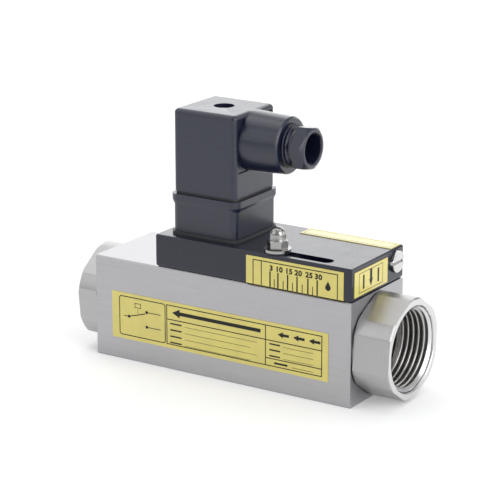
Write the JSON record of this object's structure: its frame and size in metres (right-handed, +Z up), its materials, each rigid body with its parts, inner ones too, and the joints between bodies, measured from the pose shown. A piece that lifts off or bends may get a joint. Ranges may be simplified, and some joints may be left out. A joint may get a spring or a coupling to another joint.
{
  "type": "paddle flow switch",
  "caption": "Inline paddle flow switch: square steel bar with threaded ends, a black switch housing with a sliding setpoint and an angled plug connector.",
  "frame": {"origin": "middle of the bar's underside", "axes": "+X along the flow axis towards the inlet end, +Y to the rear, +Z up"},
  "size_m": [0.1446, 0.0403, 0.1056],
  "materials": {
    "bar_steel": "brushed along the bar",
    "adaptor_steel": "turned, satin",
    "small_steel": "machined",
    "bright_screws": "bright steel",
    "polished_steel": "polished",
    "block_alloy": "milled",
    "magnet_metal": "nickel plated",
    "black_alloy": "black anodised, satin",
    "black_plastic": "moulded, satin",
    "insert_plastic": "moulded",
    "carriage_plastic": "moulded",
    "reed_glass": "clear tube",
    "seal_rubber": "matt",
    "tinned_brass": "tinned",
    "yellow_plate": "printed, satin"
  },
  "bodies": {
    "meter_body": {"body": "bar_steel", "inlet_adaptor": "adaptor_steel", "outlet_adaptor": "adaptor_steel", "inlet_oring": "seal_rubber", "outlet_oring": "seal_rubber", "pivot_pin": "small_steel", "return_spring": "small_steel", "paddle_carrier": "small_steel", "carrier_seal": "seal_rubber", "carrier_screws": "bright_screws", "switch_housing": "black_alloy", "fixing_blocks": "block_alloy", "block_screws": "bright_screws", "end_screws": "bright_screws", "base_gasket": "seal_rubber", "connector_base": "black_plastic", "base_screws": "bright_screws", "contact_blades": "tinned_brass", "nameplate": "yellow_plate", "scale_plate": "yellow_plate", "inlet_plate": "yellow_plate", "top_plate": "yellow_plate"},
    "paddle_arm": {"paddle": "small_steel", "paddle_magnet": "magnet_metal"},
    "setpoint_slider": {"reed_carriage": "carriage_plastic", "reed_switch": "reed_glass", "slider_stud": "bright_screws", "spacer_washer": "black_plastic", "nut_washer": "polished_steel"},
    "lock_nut": {"acorn_nut": "polished_steel"},
    "plug": {"plug_housing": "black_plastic", "plug_insert": "insert_plastic", "plug_gasket": "seal_rubber", "gland_washer": "bright_screws", "gland_seal": "seal_rubber"},
    "plug_fixing": {"plug_screw": "bright_screws"},
    "gland_nut": {"gland_screw": "black_plastic"}
  },
  "joints": [
    {"name": "paddle_swing", "type": "hinge", "parent": "meter_body", "child": "paddle_arm", "pos_m": [0.015, 0, 0.021], "axis": [0, 1, 0], "range_deg": [0, 60], "stiffness_Nm_per_rad": 0.006, "springref_deg": -20.05, "deforming": ["return_spring"]},
    {"name": "setpoint_slide", "type": "slide", "parent": "meter_body", "child": "setpoint_slider", "axis": [1, 0, 0], "range_m": [0, 0.0224]},
    {"name": "lock_nut_turn", "type": "hinge", "parent": "setpoint_slider", "child": "lock_nut", "pos_m": [0.0238, -0.015, 0.06], "axis": [0, 0, 1], "range_deg": [0, 360]},
    {"name": "plug_pull", "type": "slide", "parent": "meter_body", "child": "plug", "axis": [0, 0, 1], "range_m": [0, 0.025]},
    {"name": "plug_screw_turn", "type": "hinge", "parent": "plug", "child": "plug_fixing", "pos_m": [-0.0104, 0, 0.09], "axis": [0, 0, 1], "range_deg": [0, 360]},
    {"name": "gland_nut_turn", "type": "hinge", "parent": "plug", "child": "gland_nut", "pos_m": [0.025, 0, 0.0936], "axis": [1, 0, 0], "range_deg": [0, 360]}
  ]
}
